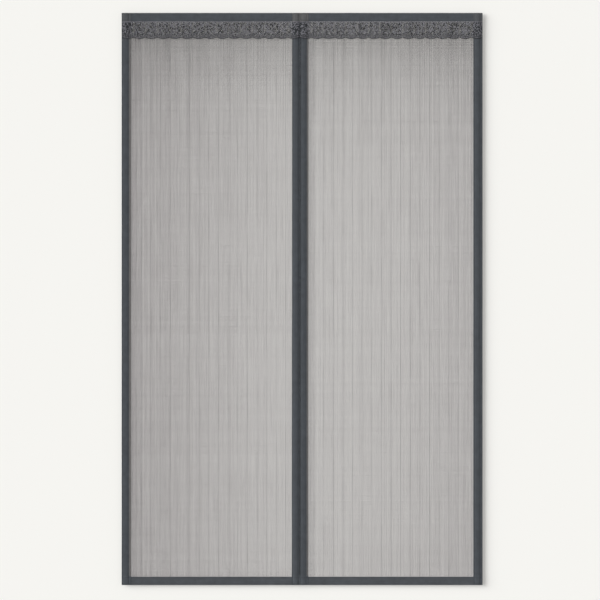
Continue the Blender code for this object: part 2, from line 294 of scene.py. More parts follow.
class ScreenSettings(bpy.types.PropertyGroup):
    """Sizes and colours of the insect screen"""

    thread_width: FloatProperty(
        name="Thread width", description="Width of a mesh thread",
        default=0.269 * MM, min=0.1 * MM, unit="LENGTH",
    )
    thread_depth: FloatProperty(
        name="Thread depth", description="Depth of a mesh thread",
        default=0.275 * MM, min=0.1 * MM, unit="LENGTH",
    )
    thread_pitch: FloatProperty(
        name="Thread pitch", description="Distance between mesh threads",
        default=1.5 * MM, min=0.8 * MM, unit="LENGTH",
    )
    stripe_width: FloatProperty(
        name="Stripe yarn width", description="Width of the thick upright yarns",
        default=0.65 * MM, min=0.2 * MM, unit="LENGTH",
    )
    mesh_colour: FloatVectorProperty(
        name="Mesh", description="Colour of the mesh threads",
        default=(0.172, 0.148, 0.160), subtype="COLOR", min=0, max=1,
    )
    tape_colour: FloatVectorProperty(
        name="Tape", description="Colour of the binding tape",
        default=(0.064, 0.071, 0.080), subtype="COLOR", min=0, max=1,
    )
    # Paler lip colour: partly the thinner single layer, partly a painted highlight
    lip_colour: FloatVectorProperty(
        name="Tape lip", description="Colour of the thin single-layer lip of the tape",
        default=(0.122, 0.118, 0.116), subtype="COLOR", min=0, max=1,
    )
    lace_colour: FloatVectorProperty(
        name="Lace net", description="Colour of the net and border threads",
        default=(0.024, 0.025, 0.028), subtype="COLOR", min=0, max=1,
    )
    # The paler satin colour is partly the flowers' own and partly a painted sheen
    motif_colour: FloatVectorProperty(
        name="Lace flowers", description="Colour of the satin threads of the flowers",
        default=(0.232, 0.231, 0.258), subtype="COLOR", min=0, max=1,
    )
    thread_colour: FloatVectorProperty(
        name="Sewing thread", description="Colour of the stitches",
        default=(0.030, 0.034, 0.038), subtype="COLOR", min=0, max=1,
    )
    backdrop_colour: FloatVectorProperty(
        name="Backdrop", description="Colour of the wall and the floor",
        default=(0.921, 0.914, 0.881), subtype="COLOR", min=0, max=1,
    )


def wander(seed, along, length):
    """Smooth wander between about -1 and 1 along a length."""
    return noise.noise(Vector((seed * 3.7 + 0.5, along / length, 0.25)))


def smooth(share):
    """Ease a share between 0 and 1 in and out."""
    share = min(max(share, 0.0), 1.0)
    return share * share * (3 - 2 * share)


def extrude(bm, faces):
    """Extrude a region of faces in place and return its new faces and points."""
    edges = dict.fromkeys(edge for face in faces for edge in face.edges)
    grown = bmesh.ops.extrude_face_region(bm, geom=[*faces, *edges])["geom"]
    new_faces = [part for part in grown if isinstance(part, bmesh.types.BMFace)]
    new_verts = [part for part in grown if isinstance(part, bmesh.types.BMVert)]
    return new_faces, new_verts


def repeat(bm, count, step):
    """Copy the whole mesh along a straight row until it is there count times."""
    units = [len(layer) for layer in (bm.verts, bm.edges, bm.faces)]
    made = 1
    while made < count:
        take = min(made, count - made)
        rows = (bm.verts[: take * units[0]], bm.edges[: take * units[1]], bm.faces[: take * units[2]])
        copied = bmesh.ops.duplicate(bm, geom=[part for row in rows for part in row])["geom"]
        verts = [part for part in copied if isinstance(part, bmesh.types.BMVert)]
        bmesh.ops.translate(bm, verts=verts, vec=step * made)
        made += take


def merge(target, bm):
    """Add one mesh to another and free it."""
    carrier = bpy.data.meshes.new("carrier")
    bm.to_mesh(carrier)
    bm.free()
    target.from_mesh(carrier)
    bpy.data.meshes.remove(carrier)


def add_piece(name, bm, materials, nodes=(), sharp_angle=None):
    """Turn a finished bmesh into a piece of the screen."""
    bmesh.ops.recalc_face_normals(bm, faces=bm.faces[:])
    mesh = bpy.data.meshes.new(name)
    bm.to_mesh(mesh)
    bm.free()
    for material in materials:
        mesh.materials.append(material)
    piece = bpy.data.objects.new(name, mesh)
    bpy.context.scene.collection.objects.link(piece)
    if sharp_angle is not None:
        mesh.shade_smooth()
        mesh.set_sharp_from_angle(angle=sharp_angle)
    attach(piece, "root")
    if nodes:
        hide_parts(*nodes)
    return piece


def new_material(name):
    """A material with nodes, its node tree and its Principled shader."""
    material = bpy.data.materials.new(name)
    material.use_nodes = True
    tree = material.node_tree
    return material, tree, tree.nodes["Principled BSDF"]


def link(tree, source, target):
    """Join an output socket to an input socket."""
    tree.links.new(source, target)


def feed(tree, socket, value):
    """Join a socket to an input socket, or set the input to a plain number or colour."""
    if isinstance(value, bpy.types.NodeSocket):
        link(tree, value, socket)
    elif isinstance(value, tuple):
        socket.default_value = (*value, 1.0) if len(socket.default_value) == 4 else value
    else:
        socket.default_value = value


def math_node(tree, operation, *values):
    """The output of a Math node whose inputs are sockets or numbers."""
    node = tree.nodes.new("ShaderNodeMath")
    node.operation = operation
    for socket, value in zip(node.inputs, values):
        feed(tree, socket, value)
    return node.outputs[0]


def mix_colours(tree, share, first, second):
    """Mix two colours, each a socket or a plain colour."""
    node = tree.nodes.new("ShaderNodeMix")
    node.data_type = "RGBA"
    for index, value in ((0, share), (6, first), (7, second)):
        feed(tree, node.inputs[index], value)
    return node.outputs[2]


def place_group(tree, group, **values):
    """The output of a node group whose inputs are sockets or plain values."""
    node = tree.nodes.new("ShaderNodeGroup")
    node.node_tree = group
    for name, value in values.items():
        feed(tree, node.inputs[name.capitalize()], value)
    return node.outputs[0]


def new_group(name, inputs, outputs):
    """A shader node group with its sockets, and its input and output nodes."""
    group = bpy.data.node_groups.new(name, "ShaderNodeTree")
    for label, kind, value in inputs:
        socket = group.interface.new_socket(label, in_out="INPUT", socket_type=kind)
        if value is not None:
            socket.default_value = value
    for label, kind in outputs:
        group.interface.new_socket(label, in_out="OUTPUT", socket_type=kind)
    return group, group.nodes.new("NodeGroupInput"), group.nodes.new("NodeGroupOutput")


def weave_group():
    """Plain weave: raised crossings of two sets of threads, from a flat pattern in metres."""
    group = bpy.data.node_groups.get("Plain Weave")
    if group:
        return group
    inputs = [("Pattern", "NodeSocketVector", None), ("Pitch", "NodeSocketFloat", 0.6 * MM)]
    group, start, end = new_group("Plain Weave", inputs, [("Height", "NodeSocketFloat")])
    flat = axes(group, start.outputs["Pattern"])
    turns = math_node(group, "DIVIDE", math.pi, start.outputs["Pitch"])
    waves = [math_node(group, "SINE", math_node(group, "MULTIPLY", flat[axis], turns)) for axis in (0, 1)]
    crossing = math_node(group, "MULTIPLY", *waves)
    link(group, math_node(group, "MULTIPLY_ADD", crossing, 0.5, 0.5), end.inputs["Height"])
    return group


def mottle_group():
    """Uneven dye: a value round 1 that changes softly, with finer grain on top."""
    group = bpy.data.node_groups.get("Uneven Dye")
    if group:
        return group
    inputs = [
        ("Pattern", "NodeSocketVector", None),
        ("Scale", "NodeSocketFloat", 30.0),
        ("Amount", "NodeSocketFloat", 0.2),
    ]
    group, start, end = new_group("Uneven Dye", inputs, [("Value", "NodeSocketFloat")])
    cloud = group.nodes.new("ShaderNodeTexNoise")
    cloud.inputs["Detail"].default_value = 5.0
    cloud.inputs["Roughness"].default_value = 0.65
    link(group, start.outputs["Pattern"], cloud.inputs["Vector"])
    link(group, start.outputs["Scale"], cloud.inputs["Scale"])
    centred = math_node(group, "SUBTRACT", cloud.outputs[0], 0.5)
    doubled = math_node(group, "MULTIPLY", centred, 2.0)
    scaled = math_node(group, "MULTIPLY", doubled, start.outputs["Amount"])
    link(group, math_node(group, "ADD", scaled, 1.0), end.inputs["Value"])
    return group


def scale_colour(tree, colour, value):
    """Multiply a colour by a value that changes over the surface."""
    node = tree.nodes.new("ShaderNodeVectorMath")
    node.operation = "SCALE"
    feed(tree, node.inputs[0], colour)
    feed(tree, node.inputs["Scale"], value)
    return node.outputs[0]


def object_coordinates(tree):
    """Place on the piece in metres."""
    return tree.nodes.new("ShaderNodeTexCoord").outputs["Object"]


def attribute(tree, name, output):
    """An attribute that the piece carries."""
    node = tree.nodes.new("ShaderNodeAttribute")
    node.attribute_name = name
    return node.outputs[output]


def axes(tree, vector):
    """The three axes of a vector as sockets of their own."""
    node = tree.nodes.new("ShaderNodeSeparateXYZ")
    link(tree, vector, node.inputs[0])
    return node.outputs


def mapped(tree, vector, **values):
    """A vector that is turned or stretched."""
    node = tree.nodes.new("ShaderNodeMapping")
    for name, value in values.items():
        node.inputs[name.capitalize()].default_value = value
    link(tree, vector, node.inputs["Vector"])
    return node.outputs[0]


def texture(tree, kind, vector, scale):
    """The first output of a Noise or Voronoi texture."""
    node = tree.nodes.new(f"ShaderNodeTex{kind}")
    node.inputs["Scale"].default_value = scale
    link(tree, vector, node.inputs["Vector"])
    return node.outputs[0]


def dyed(tree, pattern, scale, amount):
    """Uneven dye over a pattern, a value round 1."""
    return place_group(tree, mottle_group(), pattern=pattern, scale=scale, amount=amount)


def woven(tree, pattern, pitch):
    """Height of a plain weave over a flat pattern."""
    return place_group(tree, weave_group(), pattern=pattern, pitch=pitch)


def paint(tree, shader, colour, shade):
    """Give the surface a colour that is multiplied by a pattern."""
    link(tree, scale_colour(tree, colour, shade), shader.inputs["Base Color"])


def roughen(tree, shader, pattern, change, base):
    """Give the surface a roughness that changes with a pattern."""
    link(tree, math_node(tree, "MULTIPLY_ADD", pattern, change, base), shader.inputs["Roughness"])


def bump(tree, shader, height, distance):
    """Raise the surface by a height pattern."""
    node = tree.nodes.new("ShaderNodeBump")
    node.inputs["Distance"].default_value = distance
    link(tree, height, node.inputs["Height"])
    link(tree, node.outputs[0], shader.inputs["Normal"])


def set_plain(shader, **values):
    """Set sockets that are the same all over the surface."""
    for name, value in values.items():
        shader.inputs[PLAIN_SOCKETS[name]].default_value = value


def tape_material(settings):
    """Woven binding tape: bluish slate, with thread relief.

    The lip attribute is 1 where the tape lies single and paler; on the right-hand lips that paler colour
    is also a painted highlight. Below 0 it darkens the crease of the closing line with painted shade and,
    a little, the raised middle.
    """
    material, tree, shader = new_material("binding_tape")
    pattern, lip = attribute(tree, "weave", "Vector"), attribute(tree, "lip", "Fac")
    pale = math_node(tree, "MAXIMUM", lip, 0.0)
    base = mix_colours(tree, pale, tuple(settings.tape_colour), tuple(settings.lip_colour))
    crease = math_node(tree, "ADD", math_node(tree, "MINIMUM", lip, 0.0), 1.0)
    streaks = dyed(tree, mapped(tree, pattern, scale=(260.0, 9.0, 1.0)), 1.0, 0.22)
    weave = woven(tree, pattern, 0.55 * MM)
    shade = dyed(tree, object_coordinates(tree), 55.0, 0.34)
    for layer in (streaks, crease, math_node(tree, "MULTIPLY_ADD", weave, 0.24, 0.88)):
        shade = math_node(tree, "MULTIPLY", shade, layer)
    paint(tree, shader, base, shade)
    roughen(tree, shader, weave, -0.12, 0.86)
    bump(tree, shader, weave, 0.09 * MM)
    set_plain(shader, specular=0.15, sheen=0.05, sheen_roughness=0.5)
    return material


def yarn_material(name, colour, amount=0.25, painted_top_shade=0.0):
    """Polyester yarn with uneven dye along its length, and painted shade that darkens it towards the top.
    """
    material, tree, shader = new_material(name)
    place = object_coordinates(tree)
    shade = dyed(tree, mapped(tree, place, scale=(4.0, 1.0, 0.35)), 90.0, amount)
    if painted_top_shade:
        per_metre = 1 / PAINTED_TOP_SHADE_REACH
        height = math_node(tree, "MULTIPLY_ADD", axes(tree, place)[2], per_metre, HEM_HEIGHT * per_metre)
        painted_shade = math_node(tree, "MULTIPLY", math_node(tree, "EXPONENT", height), painted_top_shade)
        shade = math_node(tree, "MULTIPLY", shade, math_node(tree, "SUBTRACT", 1.0, painted_shade))
        shade = math_node(tree, "MAXIMUM", shade, 0.1)
    paint(tree, shader, tuple(colour), shade)
    grain = texture(tree, "Noise", place, 2600.0)
    roughen(tree, shader, grain, 0.2, 0.6)
    bump(tree, shader, grain, 0.05 * MM)
    set_plain(shader, specular=0.2)
    return material


def lace_material(name, colour, amount, twist):
    """Lace thread: fine satin twist across the shape, uneven dye."""
    material, tree, shader = new_material(name)
    place = object_coordinates(tree)
    dye = dyed(tree, place, 170.0, amount)
    turned = mapped(tree, place, rotation=(0.0, math.radians(38), 0.0))
    turn = math_node(tree, "SINE", math_node(tree, "MULTIPLY", axes(tree, turned)[0], math.tau / twist))
    threads = math_node(tree, "MULTIPLY_ADD", turn, 0.16, 1.0)
    paint(tree, shader, tuple(colour), math_node(tree, "MULTIPLY", dye, threads))
    roughen(tree, shader, turn, 0.08, 0.72)
    bump(tree, shader, turn, 0.08 * MM)
    set_plain(shader, specular=0.25)
    return material


def rise(tape, across):
    """How far the front of a side binding stands out at a distance from its folded edge."""
    inner = tape.width - tape.mesh_lip
    if across < tape.fold_lip:
        return LIP_CROWN * math.sin(math.pi * across / tape.fold_lip)
    if across > inner:
        return LIP_CROWN * math.sin(math.pi * (across - inner) / tape.mesh_lip)
    share = (across - tape.fold_lip) / (inner - tape.fold_lip)
    return tape.crown * (1 - abs(2 * share - 1) ** CROWN_POWER)


def hem_share(z):
    """1 where a side binding covers a hem, 0 between the hems."""
    past = min(TOP - HEM_HEIGHT - z, z - BOTTOM - HEM_HEIGHT)
    return 1 - smooth(past / RAMP)


def end_ease(z):
    """Falls from 1 to 0 in a quarter circle over the last stretch before an end."""
    left = 1 - min(TOP - z, z - BOTTOM, END_ROUND) / END_ROUND
    return math.sqrt(max(1 - left * left, 0.0))


def sideways(tape, z):
    """How far a side binding wanders from its straight line."""
    if tape.name == "centre":
        lean = CLOSING_LEAN * (z - MIDDLE_Z) / (TOP - MIDDLE_Z)
        return lean + SIDE_WANDER * wander(3, z, 0.21) - tape.inward * CLOSING_TOUCH
    return tape.inward * SIDE_WANDER * (0.5 + 0.5 * wander(tape.seed, z, 0.17))


def front_depth(tape, across, z):
    """Depth of the outside face of a side binding's front layer."""
    over_hem = hem_share(z)
    swell = 1 + SWELL * wander(tape.seed + 1, z, 0.13)
    seams = (tape.fold_lip, tape.width - tape.mesh_lip)
    near_seam = sum(max(0.0, 1 - abs(across - seam) / PUCKER_REACH) for seam in seams)
    pucker = PUCKER * wander(tape.seed + 2, z, PUCKER_LENGTH) * min(near_seam, 1.0)
    wave = math.tau * across / GATHER_PITCH + 2 * wander(tape.seed + 3, z, 0.02)
    gather = GATHER * over_hem * math.sin(wave)
    out = rise(tape, across) * swell + (pucker + gather) * min(across / SMOOTH_FOLD, 1.0)
    return COVER_INNER - TAPE - STEP_OVER_HEM * over_hem - out


def tape_stations(tape):
    """Distances from the folded edge at which a side binding's front is shaped."""
    inner = tape.width - tape.mesh_lip
    crown = inner - tape.fold_lip
    marks = [tape.fold_lip * share for share in (0.55, 0.8)]
    marks += [tape.fold_lip + crown * step / CROWN_STEPS for step in range(CROWN_STEPS + 1)]
    marks += [inner + tape.mesh_lip * step / LIP_STEPS for step in range(1, LIP_STEPS + 1)]
    return marks


def side_path(tape, z):
    """Middle of a side binding's tape: back layer, fold, front layer, in distance and depth."""
    ease = 0.45 + 0.55 * end_ease(z)
    turn = TAPE / 2 + FOLD_RADIUS
    front = SIDE_BACK_MIDDLE + (front_depth(tape, turn, z) + TAPE / 2 - SIDE_BACK_MIDDLE) * ease
    path = [Vector((tape.width * share, SIDE_BACK_MIDDLE)) for share in (1.0, 0.55)]
    path += fold(SIDE_BACK_MIDDLE, front, FOLD_RADIUS)
    for across in tape_stations(tape):
        depth = front_depth(tape, across, z) + TAPE / 2
        path.append(Vector((across, SIDE_BACK_MIDDLE + (depth - SIDE_BACK_MIDDLE) * ease)))
    return path


def fold(back, front, radius):
    """Half turn of a tape from its back layer to its front layer."""
    points = []
    for step in range(FOLD_STEPS + 1):
        angle = math.pi * step / FOLD_STEPS
        depth = (back + front) / 2 + (back - front) / 2 * math.cos(angle)
        points.append(Vector((TAPE / 2 + radius * (1 - math.sin(angle)), depth)))
    return points


def hem_path(seed, along):
    """Middle of a hem's tape: back layer, fold, front layer, in distance from the fold and depth."""
    back, front = HEM_BACK_MIDDLE, COVER_INNER - TAPE / 2
    path = [Vector((HEM_HEIGHT, back)), Vector((HEM_HEIGHT / 2, back))]
    path += fold(back, front, (back - front) / 2)
    stitch = HEM_HEIGHT - HEM_STITCH
    marks = [HEM_START + (stitch - HEM_START) * step / HEM_STEPS for step in range(HEM_STEPS + 1)]
    marks += [stitch + HEM_STITCH * step / 3 for step in (1, 2, 3)]
    for across in marks:
        if across <= stitch:
            share = (across - HEM_START) / (stitch - HEM_START)
            swell = 1 + 0.25 * wander(seed, along, 0.11)
            out = HEM_CROWN * (1 - abs(2 * share - 1) ** HEM_CROWN_POWER) * swell
        else:
            out = 0.6 * LIP_CROWN * math.sin(math.pi * (across - stitch) / HEM_STITCH)
        near = max(0.0, 1 - abs(across - stitch) / HEM_PUCKER_REACH)
        out += PUCKER * near * wander(seed + 1, along, 0.8 * PUCKER_LENGTH)
        path.append(Vector((across, front - out)))
    return path


def ribbon_outline(path, thickness):
    """Closed outline of a tape whose middle follows the path, and the distance along it of each point."""
    near, far, lengths = [], [], []
    run = 0.0
    for index, point in enumerate(path):
        before, after = path[max(index - 1, 0)], path[min(index + 1, len(path) - 1)]
        along = (after - before).normalized()
        side = Vector((-along.y, along.x)) * thickness / 2
        near.append(point + side)
        far.append(point - side)
        run += (point - before).length
        lengths.append(run)
    return near + far[::-1], lengths + lengths[::-1]


def loft_tape(stations, ring_at, lengths, lip_at):
    """Closed tape through one outline per station, with its weave pattern and lip mask."""
    bm = bmesh.new()
    weave = bm.verts.layers.float_vector.new("weave")
    lip = bm.verts.layers.float.new("lip")
    first = [bm.verts.new(point) for point in ring_at(stations[0])]
    for number, vert in enumerate(first):
        vert[weave] = (lengths[number], stations[0], 0.0)
        vert[lip] = lip_at(number, stations[0])
    end = bm.faces.new(first)
    for station in stations[1:]:
        end = extrude(bm, [end])[0][0]
        for vert, point in zip(end.verts, ring_at(station)):
            vert.co = point
            vert[weave] = (vert[weave].x, station, 0.0)
        for number, vert in enumerate(end.verts):
            vert[lip] = lip_at(number, station)
    return bm


def side_stations():
    """Heights of the rings of a side binding, closer together at its ends and hem steps."""
    count = round((TOP - BOTTOM) / RING_PITCH)
    marks = {round(BOTTOM + (TOP - BOTTOM) * step / count, 6) for step in range(count + 1)}
    for offset in (0.15 * MM, 0.5 * MM, 1.0 * MM, END_ROUND, 3.0 * MM):
        marks |= {round(BOTTOM + offset, 6), round(TOP - offset, 6)}
    for share in (0.0, 0.25, 0.5, 0.75, 1.0):
        marks |= {round(BOTTOM + HEM_HEIGHT + RAMP * share, 6), round(TOP - HEM_HEIGHT - RAMP * share, 6)}
    return sorted(marks)


def make_side_binding(tape, material):
    """Tape folded round one upright edge, stepping outwards where it covers the two hems."""
    sample, lengths = ribbon_outline(side_path(tape, MIDDLE_Z), TAPE)
    inner = tape.width - tape.mesh_lip
    # Lip mask: the paler lip, partly a painted highlight, and below 0 painted crease shade and a darker
    # tone off the lip
    lips = []
    for point in sample:
        on_front = point.y < COVER_INNER + 0.1 * MM
        on_lip = smooth((point.x - inner - LIP_START) / LIP_BLEND) if on_front else 0.0
        # Painted shade in the crease of the closing line
        in_shaded_crease = 1 - smooth((point.x - CREASE_START) / CREASE_WIDTH) if tape.name == "centre" else 0.0
        lips.append(on_lip * tape.pale - PAINTED_CREASE_SHADE * in_shaded_crease - SIDE_SHADE * (1 - on_lip))

    def ring_at(z):
        outline = ribbon_outline(side_path(tape, z), TAPE)[0]
        shift = sideways(tape, z)
        return [Vector((tape.edge_x + tape.inward * point.x + shift, point.y, z)) for point in outline]

    def lip_at(number, z):
        at_top = hem_share(z) if z > MIDDLE_Z else 0.0
        return lips[number] * (1 - hem_share(z)) + TOP_PALE[tape.name] * at_top

    bm = loft_tape(side_stations(), ring_at, lengths, lip_at)
    name, node = f"{tape.panel}_{tape.name}_tape", f"{tape.panel}_{tape.name}_binding"
    return add_piece(name, bm, [material], [node], SHARP_ANGLE)


def make_hem_binding(panel, name, material):
    """Tape folded round the top or bottom edge of a panel."""
    node = f"{panel}_{name}_binding"
    low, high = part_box(node)
    edge_z, inward_z = (high.z, -1) if name == "top" else (low.z, 1)
    seed = HEM_SEED + 2 * PANELS.index(panel) + (name == "top")
    count = round((high.x - low.x) / HEM_RING_PITCH)
    stations = [low.x + (high.x - low.x) * step / count for step in range(count + 1)]
    lengths = ribbon_outline(hem_path(seed, 0.0), TAPE)[1]

    def ring_at(x):
        outline = ribbon_outline(hem_path(seed, x), TAPE)[0]
        return [Vector((x, point.y, edge_z + inward_z * point.x)) for point in outline]

    bm = loft_tape(stations, ring_at, lengths, lambda number, x: HEM_PALE[name])
    return add_piece(f"{panel}_{name}_hem", bm, [material], [node], SHARP_ANGLE)


def mesh_density(panel, share, z):
    """How much thicker the threads are than in the middle of the cloth, at a share of its width."""
    from_top = math.exp(-(TOP - HEM_HEIGHT - z) / TONE_REACH)
    from_bottom = math.exp(-(z - BOTTOM - HEM_HEIGHT) / TONE_REACH)
    amount, power = SIDE_THICKER[panel]
    aside = amount * (1 - share if panel == "left" else share) ** power
    return 1 + TOP_THICKER * from_top + BOTTOM_THICKER * from_bottom + aside


def streak(panel, index):
    """How much thicker an upright thread is, in bands a few threads wide."""
    place = index + 500 * PANELS.index(panel)
    return sum(size * noise.noise(Vector((place / width, row, 0))) for size, width, row in STREAKS)


def grow_threads(bm, count, pitch, levels, place):
    """Square threads side by side, grown level by level; place gives each corner's point."""
    thread = bm.verts.layers.int.new("thread")
    corner = bm.verts.layers.int.new("corner")
    bmesh.ops.create_grid(bm, x_segments=1, y_segments=1, size=pitch / 4)
    repeat(bm, count, Vector((pitch, 0, 0)))
    for index, vert in enumerate(bm.verts):
        vert[thread] = index // 4
    for face in bm.faces:
        for number, vert in enumerate(face.verts):
            vert[corner] = number
            vert.co = place(vert[thread], 0, number)
    faces = bm.faces[:]
    for level in range(1, levels + 1):
        faces, verts = extrude(bm, faces)
        for vert in verts:
            vert.co = place(vert[thread], level, vert[corner])
    return thread


def stripe_places(panel, low_x, step, warps):
    """Where the thick yarns stand, by the number of the upright thread that each replaces."""
    closing = next(tape for tape in TAPES if tape.panel == panel and tape.name == "centre")
    places = {}
    for number in range(int(warps * step / STRIPE_PITCH) + 1):
        x = closing.edge_x + closing.inward * (FIRST_STRIPE + number * STRIPE_PITCH)
        index = int((x - low_x) / step)
        if 0 <= index < warps:
            places[index] = x
    return places


def make_mesh_cloth(panel, settings, materials):
    """Woven mesh of separate upright and cross threads, with a thick yarn at each stripe."""
    low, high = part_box(f"{panel}_mesh_panel")
    rng = random.Random(MESH_SEEDS[panel])
    pitch = settings.thread_pitch
    half_width, half_depth = settings.thread_width / 2, settings.thread_depth / 2
    signs = ((-1, -1), (1, -1), (1, 1), (-1, 1))

    warps = round((high.x - low.x) / pitch)
    step = (high.x - low.x) / warps
    stripes = stripe_places(panel, low.x, step, warps)
    shifts = [rng.gauss(0, WARP_SHIFT) for _ in range(warps)]
    widths = [1 + rng.gauss(0, WARP_SPREAD) + streak(panel, index) for index in range(warps)]
    warp_y = MESH_FRONT + half_depth

    def warp_corner(index, level, number):
        z = low.z + (high.z - low.z) * level / WARP_LEVELS
        x = stripes.get(index, low.x + (index + 0.5) * step + shifts[index])
        x += 0.06 * MM * wander(index * 1.31, z, 0.45)
        wide = half_width * widths[index] * mesh_density(panel, index / warps, z)
        if index in stripes:
            wide = settings.stripe_width / 2
        wide *= max(THINNEST, 1 + WARP_SWELL * wander(index * 0.77 + 40, z, 0.09))
        side, depth = signs[number]
        return Vector((x + side * wide, warp_y + depth * half_depth, z))

    bm = bmesh.new()
    thread = grow_threads(bm, warps, step, WARP_LEVELS, warp_corner)
    for face in bm.faces:
        face.material_index = 1 if face.verts[0][thread] in stripes else 0

    wefts = round((high.z - low.z) / pitch)
    rise_step = (high.z - low.z) / wefts
    drops = [rng.gauss(0, WEFT_SHIFT) for _ in range(wefts)]
    weft_widths = [1 + rng.gauss(0, WEFT_SPREAD) for _ in range(wefts)]
    weft_y = warp_y + 2 * half_depth

    def weft_corner(index, level, number):
        x = low.x + (high.x - low.x) * level / WEFT_LEVELS
        z = low.z + (index + 0.5) * rise_step + drops[index] + 0.12 * MM * wander(index * 0.93, x, 0.2)
        wide = half_width * weft_widths[index] * mesh_density(panel, level / WEFT_LEVELS, z)
        side, depth = signs[number]
        return Vector((x, weft_y + depth * half_depth, z + side * wide))

    cross = bmesh.new()
    grow_threads(cross, wefts, rise_step, WEFT_LEVELS, weft_corner)
    merge(bm, cross)
    piece = add_piece(f"{panel}_mesh_cloth", bm, materials, [f"{panel}_mesh_panel"])
    for name in ("thread", "corner"):
        layer = piece.data.attributes.get(name)
        if layer:
            piece.data.attributes.remove(layer)
    return piece


def stitch_row(count, pitch):
    """A row of separate stitches along +Z, each thickest in its middle."""
    bm = bmesh.new()
    half = STITCH_LENGTH / 2
    start = Matrix.Translation((0, 0, -half))
    bmesh.ops.create_circle(bm, cap_ends=True, segments=STITCH_CORNERS, radius=STITCH_END, matrix=start)
    faces = bm.faces[:]
    for z, radius in ((0.0, STITCH_RADIUS), (half, STITCH_END)):
        faces, verts = extrude(bm, faces)
        for vert in verts:
            flat = Vector((vert.co.x, vert.co.y)).normalized() * radius
            vert.co = (flat.x, flat.y, z)
    repeat(bm, count, Vector((0, 0, pitch)))
    return bm


def sew(target, low, high, way, out, rng, seam):
    """Add a row of stitches between two distances that run one way; seam gives the point at a distance."""
    count = max(1, round((high - low) / STITCH_PITCH))
    pitch = (high - low) / count
    bm = stitch_row(count, pitch)
    unit = len(bm.verts) // count
    tilts = [rng.uniform(-STITCH_TILT, STITCH_TILT) for _ in range(count)]
    across = Vector((way.z, 0, -way.x))
    for index, vert in enumerate(bm.verts):
        number = index // unit
        along = vert.co.z - number * pitch
        aside = vert.co.x + tilts[number] * along
        point = seam(low + (number + 0.5) * pitch + along)
        vert.co = point + across * aside + out * -vert.co.y
    merge(target, bm)


def groove_x(tape, across, z):
    """X of a point of a side binding at a distance from its folded edge."""
    return tape.edge_x + tape.inward * across + sideways(tape, z)


def make_stitching(panel, material):
    """Seams down both sides of each tape, along both hems, and across the tapes at the hems."""
    rng = random.Random(STITCH_SEEDS[panel])
    target = bmesh.new()
    for tape in [tape for tape in TAPES if tape.panel == panel]:
        for across in (tape.fold_lip, tape.width - tape.mesh_lip):

            def front_seam(z, tape=tape, across=across):
                depth = front_depth(tape, across, z) - STITCH_SINK
                return Vector((groove_x(tape, across, z), depth, z))

            def back_seam(z, tape=tape, across=across):
                return Vector((groove_x(tape, across, z), SIDE_BACK + STITCH_SINK, z))

            sew(target, BOTTOM + SEAM_END, TOP - SEAM_END, UP, FORWARD, rng, front_seam)
            under_loop_tape = tape.name == "outer" and across < LOOP_TAPE_REACH
            if not under_loop_tape:
                sew(target, BOTTOM + SEAM_END, TOP - BACK_SEAM_DROP, UP, BACKWARD, rng, back_seam)
        reach = (TACK_INSET, tape.width - TACK_INSET)
        ends = sorted(tape.edge_x + tape.inward * across for across in reach)
        rows = [BOTTOM + TACK_HEIGHT, BOTTOM + HEM_HEIGHT - HEM_STITCH]
        rows += [TOP - HEM_HEIGHT + HEM_STITCH, TOP - TACK_HEIGHT]
        for height in rows + [height + TACK_GAP for height in rows]:

            def bar_tack(x, tape=tape, height=height):
                across = min(max(tape.inward * (x - tape.edge_x), 0.0), tape.width)
                depth = front_depth(tape, across, height) - STITCH_SINK
                return Vector((x + sideways(tape, height), depth, height))

            sew(target, *ends, RIGHT, FORWARD, rng, bar_tack)
    for name in ("top", "bottom"):
        low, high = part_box(f"{panel}_{name}_binding")
        height = high.z - HEM_HEIGHT + HEM_STITCH if name == "top" else low.z + HEM_HEIGHT - HEM_STITCH
        front, back = COVER_INNER - TAPE - STITCH_SINK, HEM_BACK_MIDDLE + TAPE / 2 + STITCH_SINK
        for depth, out in ((front, FORWARD), (back, BACKWARD)):

            def hem_seam(x, depth=depth, height=height):
                return Vector((x, depth, height))

            sew(target, low.x + SEAM_END, high.x - SEAM_END, RIGHT, out, rng, hem_seam)
    return add_piece(f"{panel}_stitching", target, [material])


def plate(bm, middle, angle, size, height, segments, material_index, taper=PETAL_TAPER, petal=0):
    """Flat-backed shape with a raised, narrower top, laid on the plane of the lace.

    Its size is its length and width, and its faces carry the petal's number.
    """
    petals = bm.faces.layers.int["petal"]
    place = (
        Matrix.Translation((middle[0], 0, middle[1]))
        @ Matrix.Rotation(-angle, 4, "Y")
        @ Matrix.Diagonal((size[0] / 2, 1, size[1] / 2, 1))
        @ Matrix.Rotation(math.pi / 2, 4, "X")
    )
    made = bmesh.ops.create_circle(bm, cap_ends=True, segments=segments, radius=1.0, matrix=place)
    base = made["verts"][0].link_faces[0]
    faces, verts = extrude(bm, [base])
    centre = Vector((middle[0], 0, middle[1]))
    for vert in verts:
        vert.co = centre + (vert.co - centre) * taper + Vector((0, -height, 0))
    for face in [base, *faces, *(face for vert in verts for face in vert.link_faces)]:
        face.material_index = material_index
        face[petals] = petal


def cord(bm, points, width, height, material_index):
    """Flat cord through points of the plane of the lace."""
    before = points[0]
    ring = []
    for index, point in enumerate(points):
        after = points[min(index + 1, len(points) - 1)]
        along = (Vector(after) - Vector(before)).normalized()
        side = Vector((-along.y, along.x)) * width / 2
        a, b = Vector(point) + side, Vector(point) - side
        ring.append([(a.x, 0, a.y), (b.x, 0, b.y), (b.x, -height, b.y), (a.x, -height, a.y)])
        before = point
    end = bm.faces.new([bm.verts.new(corner) for corner in ring[0]])
    end.material_index = material_index
    for corners in ring[1:]:
        end = extrude(bm, [end])[0][0]
        for vert, corner in zip(end.verts, corners):
            vert.co = corner
        for edge in end.edges:
            for face in edge.link_faces:
                face.material_index = material_index


def scallop_edge(pitch, x):
    """Height of the lace's lower edge at a distance from the start of a scallop."""
    return LACE_VALLEY - SCALLOP_DEPTH * math.sin(math.pi * ((x / pitch) % 1.0))


